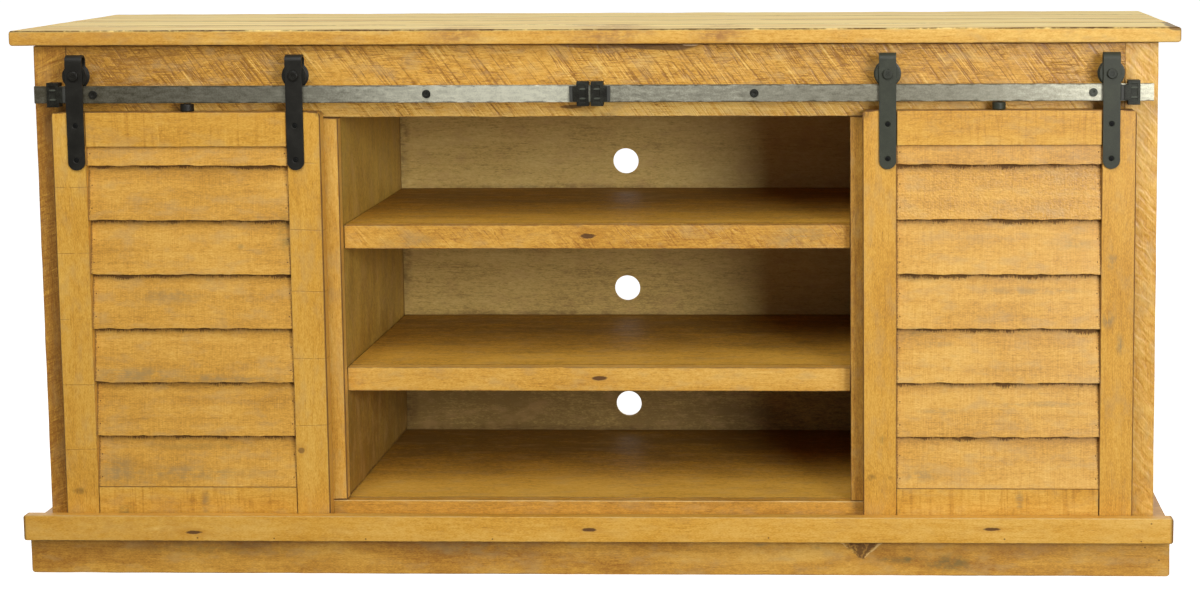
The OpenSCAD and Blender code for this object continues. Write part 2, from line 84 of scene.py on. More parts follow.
# ---- shader helpers
class Wire:
    # one output of a shader node, with arithmetic
    def __init__(self, tree, socket=None):
        self.tree = tree
        self.socket = socket

    def node(self, kind, settings=None, inputs=None, output=0):
        made = self.tree.nodes.new("ShaderNode" + kind)
        for key, value in (settings or {}).items():
            if key == "stops":
                ramp = made.color_ramp
                while len(ramp.elements) < len(value):
                    ramp.elements.new(0.5)
                for stop, (place, colour) in zip(ramp.elements, value):
                    stop.position = place
                    stop.color = (*colour, 1)
            else:
                setattr(made, key, value)
        for key, value in (inputs or {}).items():
            if isinstance(value, Wire):
                self.tree.links.new(value.socket, made.inputs[key])
            else:
                made.inputs[key].default_value = value
        return Wire(self.tree, made.outputs[output])

    def math(self, operation, *values):
        return self.node("Math", {"operation": operation}, dict(enumerate(values)))

    def __add__(self, other):
        return self.math("ADD", self, other)

    __radd__ = __add__

    def __sub__(self, other):
        return self.math("SUBTRACT", self, other)

    def __rsub__(self, other):
        return self.math("SUBTRACT", other, self)

    def __mul__(self, other):
        return self.math("MULTIPLY", self, other)

    __rmul__ = __mul__

    def __truediv__(self, other):
        return self.math("DIVIDE", self, other)

    def low(self, other):
        return self.math("MINIMUM", self, other)

    def high(self, other):
        return self.math("MAXIMUM", self, other)

    def size(self):
        return self.math("ABSOLUTE", self)

    def fade(self, start, end):
        # 0 at start and 1 at end, smooth between; the two may be in either order
        return self.node("MapRange", {"interpolation_type": "SMOOTHSTEP"},
                         {"Value": self, "From Min": start, "From Max": end})

    def vector(self, operation, *values, output=0):
        return self.node("VectorMath", {"operation": operation}, dict(enumerate(values)), output)

    def part(self, axis):
        # one coordinate of a place
        return self.node("SeparateXYZ", {}, {0: self}, axis)

    def swing(self, gain):
        # a pattern between 0 and 1 as a change to either side
        return (self - 0.5) * gain


def startMaterial(name):
    material = bpy.data.materials.new(name)
    material.use_nodes = True
    material.node_tree.nodes.clear()
    return material, Wire(material.node_tree)


def closeMaterial(material, start, colour, roughness, height, plain):
    inputs = {**plain, "Base Color": colour, "Roughness": roughness}
    bump = inputs.pop("bump", None)
    if height is not None:
        inputs["Normal"] = start.node("Bump", {}, {"Strength": bump[0], "Distance": bump[1], "Height": height})
    surface = start.node("BsdfPrincipled", {}, inputs)
    out = material.node_tree.nodes.new("ShaderNodeOutputMaterial")
    material.node_tree.links.new(surface.socket, out.inputs["Surface"])
    return material


def noise(coords, size, turn=(0, 0, 0), shift=(0, 0, 0), detail=2.0, rough=0.5, bend=0.0):
    # size is the length of the pattern's features along its own axes, in metres
    placed = coords.node("Mapping", {"vector_type": "TEXTURE"},
                         {"Vector": coords, "Location": shift, "Rotation": turn, "Scale": size})
    return placed.node("TexNoise", {}, {"Vector": placed, "Scale": 1.0, "Detail": detail, "Roughness": rough,
                                        "Distortion": bend})


def blend(factor, first, second):
    first, second = ((*colour, 1) if isinstance(colour, tuple) else colour for colour in (first, second))
    return factor.node("Mix", {"data_type": "RGBA", "blend_type": "MIX"}, {0: factor, 6: first, 7: second}, 2)


def spot(coords, place, size, ragged=None):
    # how far a point is from the middle of an ellipse seen from the front, 1 at its rim
    local = coords.node("Mapping", {"vector_type": "TEXTURE"},
                        {"Vector": coords, "Location": (place[0], 0, place[1]), "Scale": (size[0], 1000, size[1])})
    reach = local.vector("LENGTH", local, output="Value")
    return reach if ragged is None else reach + ragged.swing(1.2)


def nearest(place, points, size):
    # how far the nearest of the points is, in sizes
    reach = spot(place, points[0], size)
    for point in points[1:]:
        reach = reach.low(spot(place, point, size))
    return reach


# ---- pine
pineLook = dict(
    deep=(0.37, 0.15, 0.018),
    honey=(0.655, 0.335, 0.046),
    pale=(0.82, 0.52, 0.13),
    dun=(0.54, 0.335, 0.118),  # duller wood where the stain took less
    # colour of the dark glaze, also used for the painted shade lines
    glaze=(0.085, 0.032, 0.008),
    # pale colour of the painted sheen and painted highlights, and of a burst's rays
    bare=(0.88, 0.66, 0.27),
    level=0.5, figure=0.35, fibre=0.5, mottle=0.6, blotch=0.4,
    uneven=0.45,  # how much of the dun shows
    grain=0,  # the axis the grain follows
    seed=0.0,
    edge=0.0014, edgeDepth=0.75,  # width and depth of the dark arrises
    endReach=0.0022, endDepth=0.45,
    lowEdge=1.0,  # share of the glaze that the lower arrises hold
    rim=0,  # the side whose arris gets a painted shade line, for the shade in the gap beside it
    bareEdge=0.0,  # painted highlight along the upper arrises
    wash=0.0,  # how far the upper face turns to the tint colour: a painted sheen on the top planks, darker top faces on the doors
    washReach=(0.0045, 0.0015),
    cracks=0.0, bands=0.0,  # how far darker bands break the upper tint
    drift=(),  # each: axis, where it is whole, where it begins, change of tone; several paint light and shade along the part
    inside=None,  # depths between which the drifts, painted shade among them, and the stains begin
    saw=None,  # angle, pitch and length of the lines, how pale and dark, depth
    ripple=None,  # angle, pitch, length, depth, and the painted highlight and shade across the waves
    slats=0,  # the door's side, for louvres
    peel=None,  # the slat with a rough skin
    knots=(), smudges=(),  # rows for mark
    burst=None,  # place of its point
    scribes=(),  # heights of scored lines
    pins=(),  # places of nail holes
    roughness=0.42, coat=0.06, specular=0.45, bump=(0.55, 0.0006),
)
stains = dict(
    dark=(0.13, 0.06, 0.014), grey=(0.31, 0.205, 0.08), olive=(0.2, 0.145, 0.045),
    amber=(0.5, 0.215, 0.022), blue=(0.17, 0.155, 0.1), umber=(0.37, 0.165, 0.043),
    chip=(0.85, 0.62, 0.34),
)
patterns = dict(  # each: size along the grain, size across it, detail, roughness
    sway=(0.22, 0.09, 1, 0.5),
    figure=(0.45, 0.016, 2, 0.5),
    fibre=(0.036, 0.0013, 2, 0.6),
    mottle=(0.01, 0.0045, 3, 0.7),
    pores=(0.0034, 0.001, 1, 0.5),
    blotch=(0.11, 0.055, 2, 0.5),
    ragged=(0.012, 0.012, 3, 0.6),
    tint=(0.04, 0.018, 3, 0.6),
    wander=(0.045, 0.0065, 2, 0.6),
    band=(1.5, 0.03, 2, 0.55),
)
through = 0.3  # patterns of the front faces go this deep, in metres
grimeAndShadePlan = dict(
    soft=(0.0075, 0.0),  # reach of the painted shade under the slat above
    black=(0.0042, 0.001),
    ends=(0.0026, 0.0006),
    lip=(0.003, 0.001),
)


def mark(x, z, wide, high, depth, stain="dark", crisp=False):
    # a row for a smudge or a knot: its middle and half sizes seen from the front, how dark, and which stain
    return (x, z), (wide, high), depth, stain, crisp


def grained(kind, coords, axis, shift, bend=0.0):
    longSize, acrossSize, detail, rough = patterns[kind]
    size = tuple(longSize if i == axis else acrossSize for i in range(3))
    return noise(coords, size, shift=shift, detail=detail, rough=rough, bend=bend)


def slatMarks(place, number, striae, ragged, blotch, look):
    # painted shade and grime under the slat above and at the ends where the slats meet the stiles, nail holes, and the
    # rough skin of one slat
    rise = place.part(2) - (slatPlan["first"] - number * slatPlan["pitch"])
    end = slatPlan["opening"] - (place.part(0) - look.slats * slatPlan["doorMiddle"]).size()
    above = slatPlan["pitch"] - rise - blotch.swing(0.008) - ragged.swing(0.006) - striae.swing(0.01)
    crumbs = noise(place, (0.0016, through, 0.0016), detail=2, rough=0.7)
    patches = noise(place, (0.035, through, 0.03), detail=1)
    # a ragged dark line right under the slat above: grime with painted shadow
    black = (above - crumbs.swing(0.01) - patches.swing(0.012)).fade(*grimeAndShadePlan["black"]) * 0.85
    # darker at the slat ends where they meet the stiles: grime with painted shade
    ends = (end + crumbs.swing(0.008)).fade(*grimeAndShadePlan["ends"]) * 0.7
    # a soft painted shade under the slat above, joined with the line and the ends
    grimeAndShade = (above.fade(*grimeAndShadePlan["soft"]) * 0.45).high(black).high(ends)
    # darker along the slat's own lower edge: glaze with painted shadow of the gap below
    lip = rise.fade(*grimeAndShadePlan["lip"]) * ragged.fade(0.4, 0.6) * 0.4
    nails = slatPlan["nails"]
    across = end - nails["inset"]
    up = (rise - nails["rises"][0]).size().low((rise - nails["rises"][1]).size())
    hole = (across * across + up * up).math("SQRT", across * across + up * up).fade(nails["size"], nails["size"] * 0.6)
    peel = 0.0
    if look.peel is not None:
        rough = (number - look.peel).size().fade(0.5, 0.2)
        peel = noise(place, (0.0035, 0.0035, 0.0028), detail=2) * rough * 2.6
    return grimeAndShade.high(lip).high(hole * 0.9), hole * 1.5, peel


def pine(name, look, box):
    look = SimpleNamespace(**{**pineLook, **look})
    material, start = startMaterial(name)
    coords = place = start.node("TexCoord", output="Object")
    axis, seed = look.grain, look.seed
    shift = (seed * 1.37, seed * 0.71, seed * 2.13)
    if look.slats:
        # each slat has its own stretch of the pattern
        number = start.node("Attribute", {"attribute_name": "slatNumber"}, output="Fac")
        coords = coords.vector("MULTIPLY_ADD", number.node("CombineXYZ", {}, {i: number for i in range(3)}),
                               (0.83, 0.31, 1.91), coords)
    sway = grained("sway", coords, axis, shift)
    aside = coords.node("CombineXYZ", {}, {i: sway for i in range(3) if i != axis})
    swayed = coords.vector("MULTIPLY_ADD", aside, (0.03, 0.03, 0.03), coords)
    figure, fibre = (grained(kind, swayed, axis, shift) for kind in ("figure", "fibre"))
    mottle, pores, blotch, ragged = (grained(kind, coords, axis, shift)
                                     for kind in ("mottle", "pores", "blotch", "ragged"))
    tone = (look.level + figure.swing(look.figure) + fibre.swing(look.fibre) + mottle.swing(look.mottle)
            + blotch.swing(look.blotch) + pores.swing(0.55) - fibre.fade(0.38, 0.28) * 0.12)
    height = fibre * 0.35 + pores * 0.3 + mottle * 0.25
    gate = place.part(1).fade(*look.inside) if look.inside else 1
    # tone changes along the part; several are painted shade and light, as noted at each look
    for run, whole, begins, gain in look.drift:
        tone = tone + gate * place.part(run).fade(begins, whole) * gain
    if look.saw:
        angle, pitch, length, pale, dark, depth = look.saw
        turn = (0, angle, 0)
        scratch = noise(coords, (pitch, through, length), turn, shift, 1, 0.5, 0.25)
        cuts = noise(coords, (pitch * 2.3, through, length * 1.5), turn, shift[::-1], 1, 0.5, 0.2)
        patch = noise(coords, (0.06, through, 0.03), shift=shift, detail=1).fade(0.42, 0.6)
        line = (cuts - 0.5).size().fade(0.045, 0.0) * (patch * 0.7 + 0.3)
        # paler on the marks' crests and darker in their lines: the marks' own colour, with painted highlight and shade
        # of their relief
        tone = (tone + scratch.fade(0.6, 0.7) * patch * pale - line * dark
                - scratch.fade(0.4, 0.32) * dark * 0.8)
        height = height + (scratch * 0.9 - line * 0.5) * depth
    if look.cracks:
        wander = grained("wander", coords, axis, shift[::-1], 1.1)
        crack = ((wander - 0.5).size().fade(0.035, 0.0)
                 * noise(coords, (0.05, through, 0.03), shift=shift, detail=1).fade(0.4, 0.58))
        tone = tone - crack * look.cracks
        height = height - crack * 1.2
    if look.ripple:
        angle, pitch, length, depth, change = look.ripple
        waves = noise(coords, (pitch, through, length), (0, angle, 0), shift, 1, 0.45, 0.5)
        height = height + waves * depth
        # lighter on the crests and darker in the hollows: painted highlight and shade of the waves
        tone = tone + waves.fade(0.38, 0.62).swing(change)
    if look.slats:
        striae = noise(coords, (0.0011, through, 0.03), shift=shift, detail=1)
        tone = tone + striae.swing(0.35)
        height = height + striae * 0.3
    colour = tone.node("ValToRGB", {"stops": [(0.12, look.deep), (0.5, look.honey), (0.9, look.pale)]},
                       {"Fac": tone})
    tint = grained("tint", coords, axis, shift[::-1])
    colour = blend(tint.fade(0.47, 0.72) * look.uneven, colour, look.dun)
    if look.slats:
        dark, hollow, peel = slatMarks(place, number, striae, ragged, blotch, look)
        height = height - hollow + peel
    else:
        # dark glaze left along the arrises, and end grain that drank more of it; the upper face's tint, painted
        # highlights on upper arrises and a painted shade line on one side are added here too
        middle, half = (tuple((b + a * sign) / 2 for a, b in zip(*box)) for sign in (1, -1))
        offset = coords.vector("SUBTRACT", coords, middle)
        inside = coords.vector("SUBTRACT", half, offset.vector("ABSOLUTE", offset))
        across = [inside.part(i) for i in range(3)]
        corner = across[0].low(across[1]).high(across[0].high(across[1]).low(across[2]))
        arris = (corner + ragged.swing(look.edge * 1.4)).fade(look.edge * 1.6, look.edge * 0.5)
        upper = offset.part(2).fade(half[2] * 0.6, half[2] * 0.8)
        # the upper face turns to the tint colour: on the top planks a painted sheen standing for the reflection off
        # the top, on the doors a darker top face
        if look.wash:
            band = grained("band", swayed, axis, shift[::-1])
            worn = (1 - (band - 0.52).size().fade(0.08, 0.0) * look.bands) * look.wash
            colour = blend(across[2].fade(*look.washReach) * upper * worn, colour, look.bare)
        if look.lowEdge < 1:
            arris = arris * (upper * (1 - look.lowEdge) + look.lowEdge)
        # a painted highlight along the upper arrises, where they catch the light from above
        if look.bareEdge:
            highlight = arris * upper * (blotch.fade(0.34, 0.56) * 0.6 + 0.4) * look.bareEdge
            colour = blend(highlight, colour, look.bare)
            arris = arris * (1 - upper * look.bareEdge)
        dark = (arris * (ragged * 0.4 + blotch * 0.6).fade(0.36, 0.5) * look.edgeDepth).high(
            across[axis].fade(look.endReach, 0.0002) * look.endDepth)
        # painted shade: a dark line along the arris on that side, where shade falls into the gap between the part and
        # its neighbour
        if look.rim:
            outer = offset.part(0) * look.rim
            dark = dark.high(corner.fade(0.0028, 0.0014) * outer.fade(0.0, half[0] * 0.5) * 0.85)
    for middle, size, depth, stain, crisp in (mark(*row) for row in look.smudges):
        reach = spot(place, middle, size, blotch)
        if crisp:
            spread = reach.fade(1.1, 0.85) * (fibre * 0.6 + 0.6)
        else:
            spread = reach.fade(1.3, 0.2) * (fibre * 0.5 + ragged * 0.5).fade(0.38, 0.6)
        colour = blend(spread * gate * depth, colour, stains[stain])
    for middle, size, depth, *rest in (mark(*row) for row in look.knots):
        reach = spot(place, middle, size, ragged)
        heart = reach.fade(1.15, 0.75) * depth
        colour = blend(reach.fade(3.2, 1.0) * 0.3, colour, stains["amber"])
        dark = dark.high(heart)
        height = height - heart * 0.8
    if look.burst:
        # the foot of a knot cut through by the board's upper edge: its grain runs to a point
        x, z = look.burst
        rise = place.part(2) - z + ragged.swing(0.014)
        slope = (place.part(0) - x) / rise.high(0.002) * 0.85
        spread = slope.size() + mottle.swing(0.9)
        rays = slope * 8 + ragged.swing(14) + mottle.swing(6)
        rays = rays.math("SINE", rays)
        within = rise.fade(0.0, 0.005)
        line = (slope.size() + ragged.swing(0.5) - 0.95).size().fade(0.16, 0.05) * within * rays.fade(-0.5, 0.5)
        colour = blend(line * 0.6, colour, look.bare)
        dark = dark.high(spread.fade(1.05, 0.7) * within * (0.8 - rays.fade(0.0, 0.9) * 0.42))
    if look.scribes:
        z = place.part(2) + sway.swing(0.006)
        line = (z - look.scribes[0]).size()
        for level in look.scribes[1:]:
            line = line.low((z - level).size())
        scored = line.fade(0.0011, 0.0003) * ragged.fade(0.34, 0.5)
        dark = dark.high(scored * 0.27)
        height = height - scored * 0.8
    if look.pins:
        dark = dark.high(nearest(place, look.pins, (0.0014, 0.0014)).fade(1.1, 0.6) * 0.75)
    # the dark glaze, knots, scored lines and nail holes, together with the painted shade of the slats and of the
    # shaded sides
    colour = blend(dark, colour, look.glaze)
    roughness = look.roughness + blotch.swing(0.25) + fibre.swing(0.2) + dark * 0.5
    return closeMaterial(material, start, colour, roughness, height,
                         {"bump": look.bump, "Coat Weight": look.coat, "Coat Roughness": 0.28,
                          "Specular IOR Level": look.specular})


# ---- modelling helpers
near = 1e-5  # places closer than this are one
ways = dict(up=(0, 0, 1), front=(0, -1, 0), back=(0, 1, 0))


def setMode(mode):
    bpy.ops.object.mode_set(mode=mode)


def clearSelection():
    if bpy.context.object and bpy.context.object.mode != "OBJECT":
        setMode("OBJECT")
    bpy.ops.object.select_all(action="DESELECT")


def activate(piece):
    clearSelection()
    piece.select_set(True)
    bpy.context.view_layer.objects.active = piece


def settle(piece):
    # the piece's place goes into its mesh
    activate(piece)
    bpy.ops.object.transform_apply(location=True, rotation=True, scale=True)


def rename(piece, name):
    piece.name = piece.data.name = name


def addBlock(name, low, high):
    clearSelection()
    bpy.ops.mesh.primitive_cube_add(size=1, location=[(a + b) / 2 for a, b in zip(low, high)])
    block = bpy.context.object
    rename(block, name)
    block.scale = [b - a for a, b in zip(low, high)]
    settle(block)
    return block


def addBar(name, radius, ends, place, sides=48, axis=1):
    # a round bar along Y or Z; its place is given on the two other axes
    clearSelection()
    middle = list(place)
    middle.insert(axis, (ends[0] + ends[1]) / 2)
    bpy.ops.mesh.primitive_cylinder_add(vertices=sides, radius=radius, depth=ends[1] - ends[0], location=middle,
                                        rotation=(math.pi / 2 if axis == 1 else 0, 0, 0))
    bar = bpy.context.object
    rename(bar, name)
    settle(bar)
    return bar


def joinPieces(pieces, name):
    activate(pieces[0])
    for piece in pieces:
        piece.select_set(True)
    bpy.ops.object.join()
    rename(bpy.context.object, name)
    return bpy.context.object


def startPicking(piece, edges):
    # edge or face mode, with nothing selected
    activate(piece)
    setMode("EDIT")
    bpy.context.tool_settings.mesh_select_mode = (False, edges, not edges)
    bpy.ops.mesh.select_all(action="DESELECT")


def pickEdges(piece, test):
    # selects the edges whose two ends pass the test
    startPicking(piece, True)
    setMode("OBJECT")
    points = piece.data.vertices
    for edge in piece.data.edges:
        edge.select = bool(test(*(points[i].co for i in edge.vertices)))
    setMode("EDIT")


def pickFaces(piece, way):
    # selects the faces that look that way
    startPicking(piece, False)
    setMode("OBJECT")
    for face in piece.data.polygons:
        face.select = face.normal.dot(Vector(ways[way])) > 0.9
    setMode("EDIT")


def pullFaces(piece, way, middle, *steps):
    # each step insets the faces that look that way, pulls them out and scales them about the middle
    pickFaces(piece, way)
    for inset, pull, scale in steps:
        if inset:
            bpy.ops.mesh.inset(thickness=inset)
        bpy.ops.mesh.extrude_region_move(TRANSFORM_OT_translate={"value": [part * pull for part in ways[way]]})
        if scale != 1:
            bpy.ops.transform.resize(value=[1 if part else scale for part in ways[way]], center_override=middle)
    setMode("OBJECT")


def runsAlong(a, b, axis):
    return abs((b - a).normalized()[axis]) > 0.99


def liesAt(a, b, axis, place):
    return abs(a[axis] - place) < near and abs(b[axis] - place) < near


def cutAcross(piece, axis, cuts):
    # equal cuts along one axis
    if cuts:
        pickEdges(piece, lambda a, b: runsAlong(a, b, axis))
        bpy.ops.mesh.subdivide(number_cuts=cuts)
        setMode("OBJECT")


def bevelPicked(width, segments, clamp):
    bpy.ops.mesh.bevel(offset=width, segments=segments, profile=0.5, affect="EDGES", clamp_overlap=clamp)
    setMode("OBJECT")


def roundEdges(piece, test, width, segments):
    pickEdges(piece, test)
    bevelPicked(width, segments, False)


def roundSharp(piece, width, segments=2, angle=60):
    startPicking(piece, True)
    bpy.ops.mesh.edges_select_sharp(sharpness=math.radians(angle))
    bevelPicked(width, segments, True)


def applyModifier(piece, kind, settings):
    activate(piece)
    modifier = piece.modifiers.new(kind.lower(), kind)
    for key, value in settings.items():
        setattr(modifier, key, value)
    bpy.ops.object.modifier_apply(modifier=modifier.name)


def handWork(piece, depth, size, direction="NORMAL", mid=1.0, group=""):
    # uneven surface of a planed and sanded board, always inside its outline
    pattern = bpy.data.textures.new(piece.name + "Work", "CLOUDS")
    pattern.noise_scale = size
    pattern.noise_depth = 1
    applyModifier(piece, "DISPLACE", {"texture": pattern, "strength": depth, "mid_level": mid,
                                      "direction": direction, "texture_coords": "LOCAL", "vertex_group": group})


def finishPiece(piece, nodes, body, material):
    activate(piece)
    bpy.ops.object.shade_smooth_by_angle(angle=math.radians(35))
    applyModifier(piece, "WEIGHTED_NORMAL", {"keep_sharp": True, "weight": 80})
    piece.data.materials.clear()
    piece.data.materials.append(material)
    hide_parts(*nodes)
    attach(piece, body)


# ---- boards
boardPlan = dict(
    cut=0.018,  # spacing of the cuts along a board
    work=(0.001, 0.05),  # depth and size of the uneven surface
    round=0.0014,
    tongue=0.009,  # length of a door rail's end that is out of sight in the stile
)
insideLook = dict(
    honey=(0.57, 0.365, 0.06), pale=(0.74, 0.52, 0.13), deep=(0.29, 0.155, 0.022), grain=2, level=0.42,
    figure=0.2, fibre=0.35, blotch=0.5, coat=0.03, roughness=0.5, edge=0.0042, edgeDepth=0.55,
    # painted shade: darker towards the bottom and towards the back panel
    drift=((2, 0.05, 0.55, -0.3), (1, 0.243, 0.226, -0.35)),
)
shelfLook = dict(
    honey=(0.67, 0.36, 0.046), pale=(0.8, 0.5, 0.11), deep=(0.27, 0.145, 0.026), coat=0.0,
    specular=0.1, roughness=0.56, figure=0.25, uneven=0.35,
    # painted shade: darker towards the back, most at the back panel
    drift=((1, 0.2, -0.16, -0.3), (1, 0.243, 0.226, -0.45)),
)
# the top planks' upper face is painted pale: a painted sheen for the reflection at a grazing angle
topLook = dict(
    wash=0.88, bare=(0.98, 0.76, 0.275), edge=0.0024, lowEdge=0.3, edgeDepth=1.0, figure=0.7,
    bands=0.6, endDepth=0.7, endReach=0.0035, roughness=0.62, coat=0.0, specular=0.4,
    # painted light: lighter towards the right end, where more light falls
    drift=((0, 0.8, 0.0, 0.24),),
)
sideLook = dict(grain=2, specular=0.2, coat=0.0, roughness=0.58)

topShape = dict(slot="pine_top", rows=(0, 5, 1), corners=(0.005, 0), topCorners=True)
stileShape = dict(slot="pine_frame", rows=(3, 1, 0))
sideShape = dict(slot="pine_panel", rows=(1, 12, 0))
partitionShape = dict(slot="pine_panel", rows=(1, 8, 0))
shelfShape = dict(slot="pine_panel", rows=(0, 8, 1))
nosingShape = dict(slot="pine_nosing", rows=(0, 1, 3))

boards = dict(  # each: the frame's node, shape, look; the seeds follow the order
    topPlank1=("top_plank_1", dict(topShape, round=0.0024), dict(
        topLook, level=0.52,
        smudges=(
            (-0.19, 0.77, 0.05, 0.014, 0.8, "umber"), (0.03, 0.77, 0.062, 0.016, 0.9, "umber"),
            (0.181, 0.77, 0.042, 0.014, 0.9, "umber"), (-0.7, 0.766, 0.12, 0.016, 0.45, "amber"),
            (0.8205, 0.7778, 0.012, 0.003, 0.85, "dark", True)))),
    topPlank2=("top_plank_2", topShape, dict(topLook, level=0.62)),
    topPlank3=("top_plank_3", topShape, dict(topLook, level=0.55)),
    topPlank4=("top_plank_4", dict(topShape, round=0.0024), dict(topLook, level=0.63)),
    headerRail=("header_rail", dict(
        slot="pine_frame", rows=(0, 1, 6), work=(0.0016, 0.03), round=0.0006, grow=0.0009), dict(
        level=0.515, mottle=0.7, fibre=0.8, uneven=0.55, cracks=0.25,
        deep=(0.34, 0.15, 0.018), endDepth=0, edgeDepth=0.9,
        # painted shade darker towards the left end, where less light falls; painted light on the strip under the
        # track, against the track's shadow; a little darker towards the right end
        drift=((0, -0.85, -0.25, -0.32), (2, 0.672, 0.68, 0.24), (0, 0.35, 0.1, -0.08)),
        saw=(-0.64, 0.0027, 0.085, 0.44, 0.36, 2.0),
        knots=((-0.03, 0.6685, 0.017, 0.0026, 0.75),),
        smudges=(
            (0.098, 0.7575, 0.052, 0.0115, 0.9, "dark", True), (0.04, 0.758, 0.09, 0.0066, 0.75, "dark", True),
            (0.139, 0.7558, 0.011, 0.0017, 0.8, "chip", True), (-0.3, 0.667, 0.012, 0.004, 0.4)))),
    bottomRail=("bottom_rail", dict(slot="pine_frame", rows=(0, 1, 2), round=0.0009, grow=0.0009), dict(
        level=0.36, bareEdge=0.85, deep=(0.37, 0.17, 0.024))),
    stileOuterLeft=("outer_stile_left", dict(stileShape, round=0.0006), dict(
        grain=2, level=0.28, uneven=0.25, edgeDepth=0.5, saw=(1.15, 0.0024, 0.03, 0.2, 0.2, 1.5))),
    stileOuterRight=("outer_stile_right", dict(stileShape, round=0.0006), dict(
        grain=2, level=0.6, uneven=0.5, edgeDepth=0.2, ripple=(-0.7, 0.008, 0.024, 4.5, 0.16))),
    stileInnerLeft=("inner_stile_left", dict(stileShape, round=0.001), dict(
        grain=2, level=0.62, endDepth=0, rim=1)),
    stileInnerRight=("inner_stile_right", dict(stileShape, round=0.001), dict(
        grain=2, level=0.42, endDepth=0)),
    sideLeft=("side_panel_left", sideShape, sideLook),
    sideRight=("side_panel_right", sideShape, sideLook),
    partitionLeft=("partition_left", partitionShape, insideLook),
    partitionRight=("partition_right", partitionShape, insideLook),
    cabinetFloor=("bottom_panel", shelfShape, dict(
        # painted shade: darker towards the back
        shelfLook, level=0.57, drift=((1, 0.2, -0.16, -0.46), (1, 0.243, 0.226, -0.4)))),
    shelfUpper=("centre_shelf_upper", shelfShape, dict(shelfLook, level=0.46)),
    shelfLower=("centre_shelf_lower", shelfShape, shelfLook),
    nosingUpper=("shelf_nosing_upper", nosingShape, dict(
        level=0.44, endDepth=0.8, saw=(-0.75, 0.004, 0.03, 0.16, 0.14, 0.8),
        smudges=((0.3, 0.481, 0.05, 0.02, 0.5, "grey"), (-0.27, 0.474, 0.05, 0.01, 0.5, "grey")),
        knots=((-0.0131, 0.4807, 0.012, 0.0035, 0.9),))),
    nosingLower=("shelf_nosing_lower", nosingShape, dict(
        level=0.54, bareEdge=0.1, endDepth=0.7, knots=((0.0018, 0.2738, 0.012, 0.0032, 0.9),))),
    platform=("base_platform", dict(slot="pine_base", rows=(0, 8, 1)), {}),
    guideStrip=("guide_strip", dict(
        slot="pine_base", rows=(0, 2, 3), round=0.002, corners=(0.004, 0), topCorners=True), dict(
        level=0.57, honey=(0.67, 0.335, 0.036), bareEdge=0.6, uneven=0.15, endDepth=1.0,
        endReach=0.006, fibre=0.35, mottle=0.45,
        pins=((-0.567, 0.0585), (-0.457, 0.058), (-0.326, 0.0575), (-0.145, 0.058), (0.247, 0.061),
              (0.58, 0.06), (0.786, 0.083), (0.772, 0.0575)),
        smudges=((-0.66, 0.07, 0.24, 0.04, 0.35, "amber"),),
        knots=(
            (-0.5718, 0.0666, 0.0115, 0.0026, 0.9), (-0.0085, 0.0719, 0.0105, 0.0025, 0.9),
            (0.5626, 0.0743, 0.0115, 0.0025, 0.9)))),
    plinthFront=("plinth_front", dict(slot="pine_base", rows=(0, 1, 5), corners=(0.005, 0)), dict(
        level=0.4, blotch=0.9, figure=0.55, fibre=0.35, mottle=0.5, uneven=0.45,
        drift=((0, -0.8, -0.2, -0.07),), pins=((0.78, 0.0427), (0.8, 0.0241)), burst=(0.3785, 0.0235),
        smudges=(
            (0.372, 0.016, 0.03, 0.02, 0.35, "amber"), (0.3585, 0.0245, 0.006, 0.006, 0.7, "umber"),
            (0.502, 0.019, 0.036, 0.013, 0.8, "olive"), (0.436, 0.0235, 0.032, 0.005, 0.9, "olive"),
            (0.234, 0.046, 0.01, 0.005, 0.5, "olive"), (0.312, 0.042, 0.012, 0.006, 0.5, "olive"),
            (-0.18, 0.04, 0.1, 0.012, 0.5, "grey"), (-0.5, 0.046, 0.3, 0.009, 0.55, "umber"),
            (0.62, 0.043, 0.18, 0.01, 0.45, "umber"), (-0.55, 0.038, 0.14, 0.012, 0.35, "olive")))),
    plinthLeft=("plinth_left", dict(slot="pine_base", rows=(1, 0, 3)), dict(grain=1)),
    plinthRight=("plinth_right", dict(slot="pine_base", rows=(1, 0, 3)), dict(grain=1)),
    plinthRear=("plinth_rear", dict(slot="pine_base", rows=(0, 1, 3)), {}),
)

doorMarks = dict(
    left=dict(
        outer=dict(
            scribes=(0.559, 0.4635, 0.369, 0.2745, 0.181),
            smudges=((-0.743, 0.12, 0.009, 0.005, 0.6),)),
        inner=dict(
            scribes=(0.593, 0.497, 0.409, 0.313, 0.217),
            knots=((-0.421, 0.18, 0.0045, 0.0045, 0.6),),
            smudges=((-0.381, 0.664, 0.009, 0.007, 0.9), (-0.3775, 0.632, 0.003, 0.02, 0.8))),
        bottom=dict(smudges=((-0.56, 0.102, 0.007, 0.02, 0.8, "grey"), (-0.675, 0.091, 0.014, 0.01, 0.7, "olive"))),
    ),
    right=dict(
        outer=dict(smudges=(
            (0.731, 0.456, 0.007, 0.008, 0.5, "blue"), (0.728, 0.446, 0.005, 0.007, 0.5, "blue"),
            (0.725, 0.368, 0.009, 0.012, 0.6, "blue"), (0.742, 0.332, 0.007, 0.018, 0.6, "blue"))),
        inner=dict(smudges=(
            (0.385, 0.664, 0.008, 0.01, 0.8), (0.407, 0.197, 0.007, 0.008, 0.5, "olive"),
            (0.393, 0.142, 0.006, 0.005, 0.6), (0.418, 0.142, 0.005, 0.004, 0.6))),
        bottom=dict(smudges=((0.602, 0.111, 0.007, 0.014, 0.8, "grey"), (0.715, 0.108, 0.005, 0.016, 0.7, "grey"))),
    ),
)
